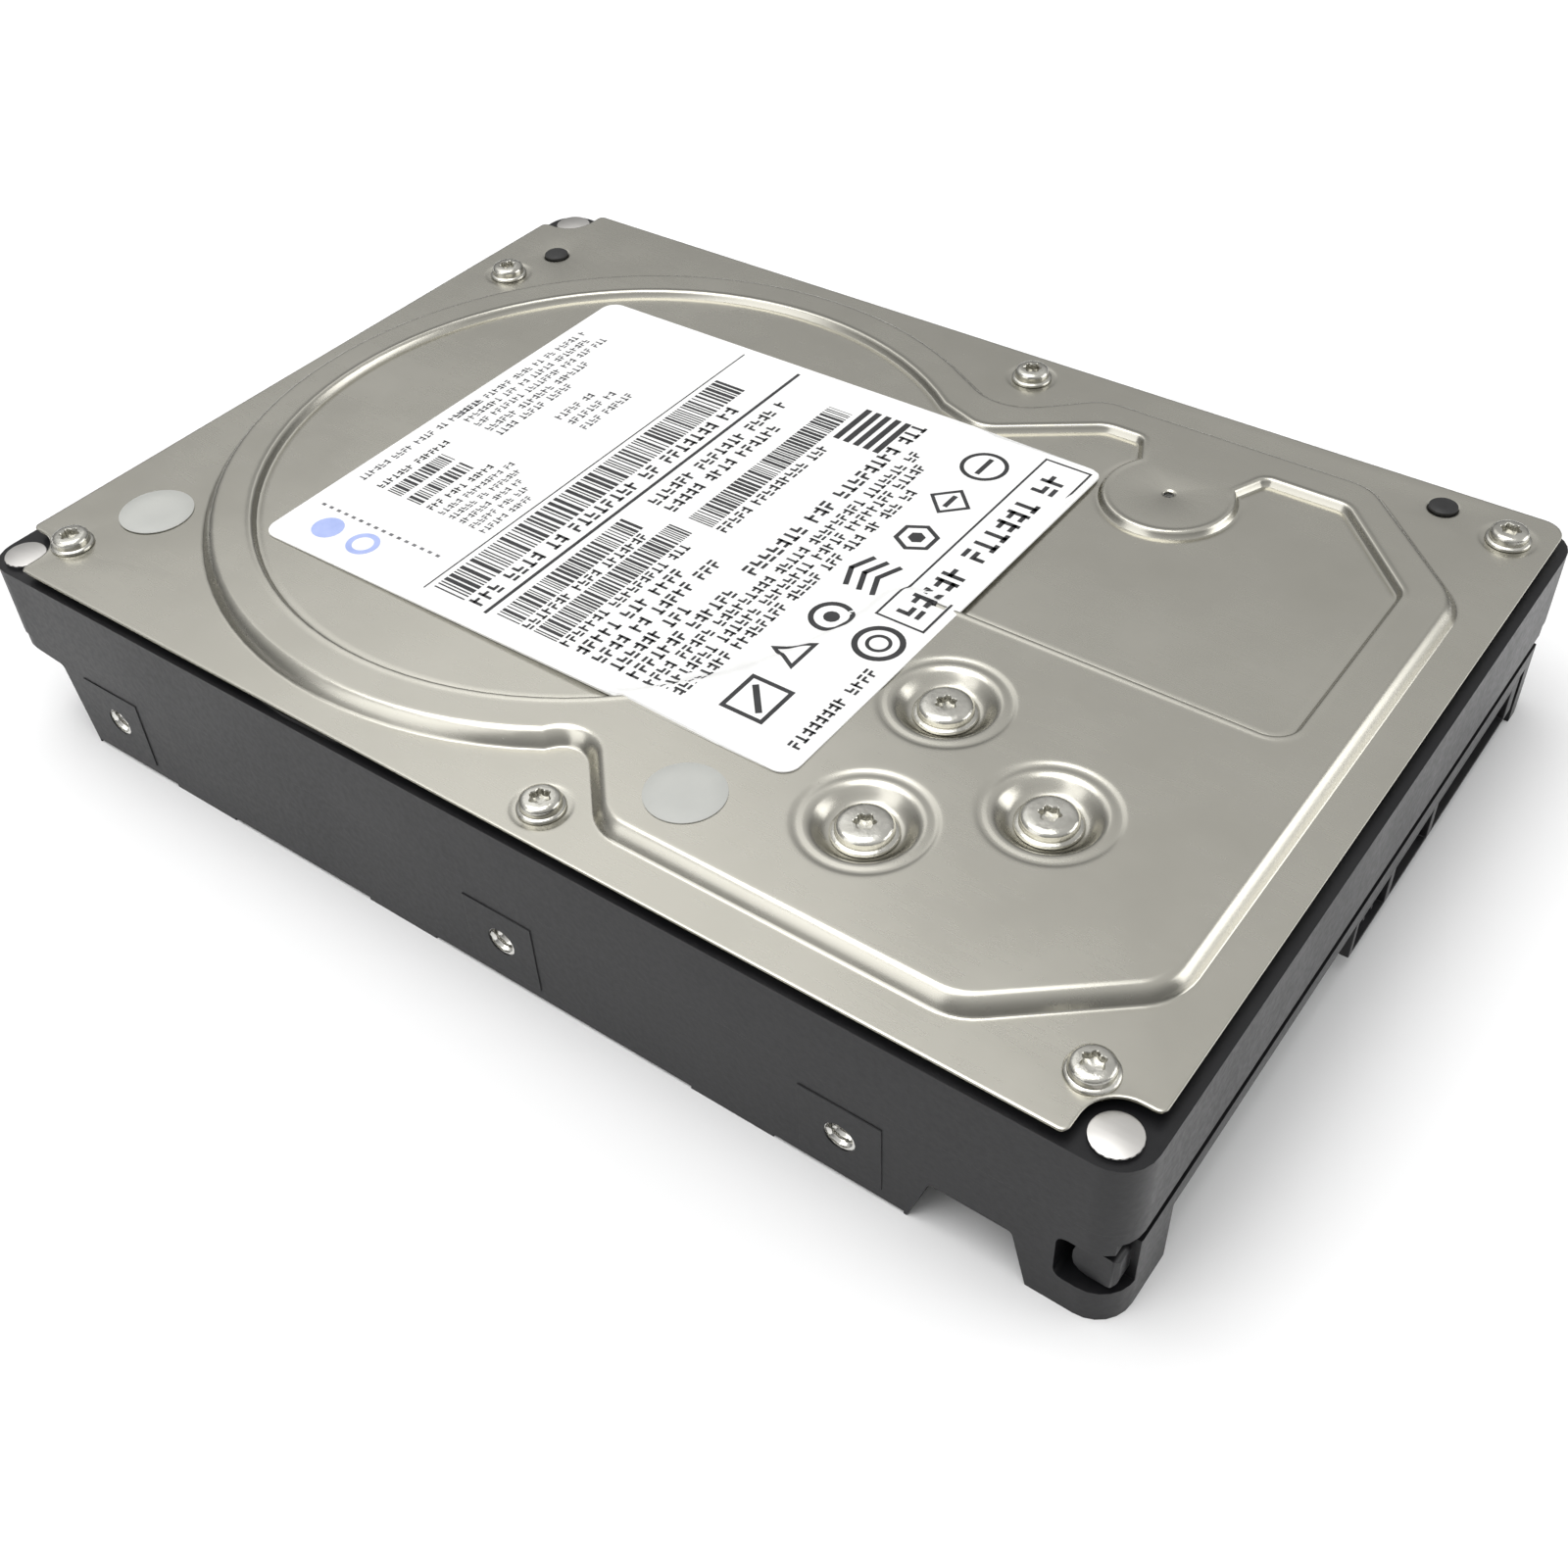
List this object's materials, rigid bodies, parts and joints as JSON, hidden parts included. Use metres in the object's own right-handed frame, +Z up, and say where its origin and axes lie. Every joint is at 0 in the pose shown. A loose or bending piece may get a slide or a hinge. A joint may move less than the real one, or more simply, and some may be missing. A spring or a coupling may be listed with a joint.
{
  "type": "hard disk drive",
  "caption": "Desktop hard disk drive: a cast base with a pressed steel cover over discs on a spindle and a swinging arm, with a board and a data and power connector.",
  "frame": {"origin": "centre of the drive's footprint, on the plane that its long rails stand on", "axes": "+Z up through the cover, +Y along the length away from the connector end, +X to the right seen from the connector end"},
  "size_m": [0.1016, 0.147, 0.0259],
  "materials": {
    "casting_paint": "black coated cast aluminium, semi-gloss",
    "cover_steel": "satin stainless sheet, faint grain",
    "screw_steel": "nickel plated steel",
    "gasket_rubber": "black rubber",
    "label_paper": "white satin label",
    "seal_film": "silver-grey film sticker",
    "aluminium": "machined aluminium",
    "disc_mirror": "mirror polished disc",
    "magnet_nickel": "nickel plated magnet steel",
    "coil_copper": "enamelled copper winding",
    "ramp_plastic": "moulded cream plastic",
    "filter_felt": "white filter felt",
    "flex_amber": "amber polyimide ribbon",
    "board_green": "green solder mask",
    "chip_plastic": "black moulded plastic",
    "connector_plastic": "black moulded plastic",
    "contact_gold": "gold plated contacts"
  },
  "bodies": {
    "base": {"base_casting": "casting_paint", "board_screw_1": "screw_steel", "board_screw_2": "screw_steel", "board_screw_3": "screw_steel", "board_screw_4": "screw_steel", "breather_filter": "filter_felt", "circuit_board": "board_green", "controller_chip": "chip_plastic", "cover_gasket": "gasket_rubber", "cover_screw_1": "screw_steel", "cover_screw_2": "screw_steel", "cover_screw_3": "screw_steel", "cover_screw_4": "screw_steel", "cover_screw_5": "screw_steel", "cover_screw_6": "screw_steel", "crash_stop_inner": "gasket_rubber", "crash_stop_outer": "gasket_rubber", "dimple_screw_1": "screw_steel", "dimple_screw_2": "screw_steel", "dimple_screw_3": "screw_steel", "flex_bracket": "aluminium", "flex_connector": "connector_plastic", "flex_ribbon": "flex_amber", "hole_plug_1": "gasket_rubber", "hole_plug_2": "gasket_rubber", "label": "label_paper", "load_ramp": "ramp_plastic", "lower_magnet": "magnet_nickel", "lower_yoke": "magnet_nickel", "motor_base_and_stator": "aluminium", "motor_driver_chip": "chip_plastic", "pivot_shaft": "screw_steel", "power_contacts": "contact_gold", "recirculation_filter": "filter_felt", "sata_connector": "connector_plastic", "servo_hole_seal_middle": "seal_film", "servo_hole_seal_rim": "seal_film", "signal_contacts": "contact_gold", "top_cover": "cover_steel", "upper_magnet": "magnet_nickel", "upper_yoke": "magnet_nickel"},
    "spindle": {"disc_1": "disc_mirror", "disc_2": "disc_mirror", "disc_3": "disc_mirror", "disc_clamp": "aluminium", "disc_clamp_screw": "screw_steel", "disc_spacer_1": "aluminium", "disc_spacer_2": "aluminium", "rotor_magnet": "magnet_nickel", "spindle_hub": "aluminium", "spindle_shaft": "screw_steel"},
    "actuator": {"arm_block": "aluminium", "coil_holder": "ramp_plastic", "head_gimbals_1": "screw_steel", "head_gimbals_2": "screw_steel", "head_gimbals_3": "screw_steel", "head_gimbals_4": "screw_steel", "pivot_bearing": "screw_steel", "voice_coil": "coil_copper"},
    "latch": {"actuator_latch": "chip_plastic"}
  },
  "joints": [
    {"name": "spindle_spin", "type": "hinge", "parent": "base", "child": "spindle", "pos_m": [0, 0.0224, 0.0148], "axis": [0, 0, 1], "continuous": true},
    {"name": "actuator_swing", "type": "hinge", "parent": "base", "child": "actuator", "pos_m": [-0.0136, -0.0323, 0.0148], "axis": [0, 0, 1], "range_deg": [0, 34]},
    {"name": "latch_pivot", "type": "hinge", "parent": "base", "child": "latch", "pos_m": [-0.0416, -0.018, 0.0143], "axis": [0, 0, 1], "range_deg": [0, 12]}
  ]
}
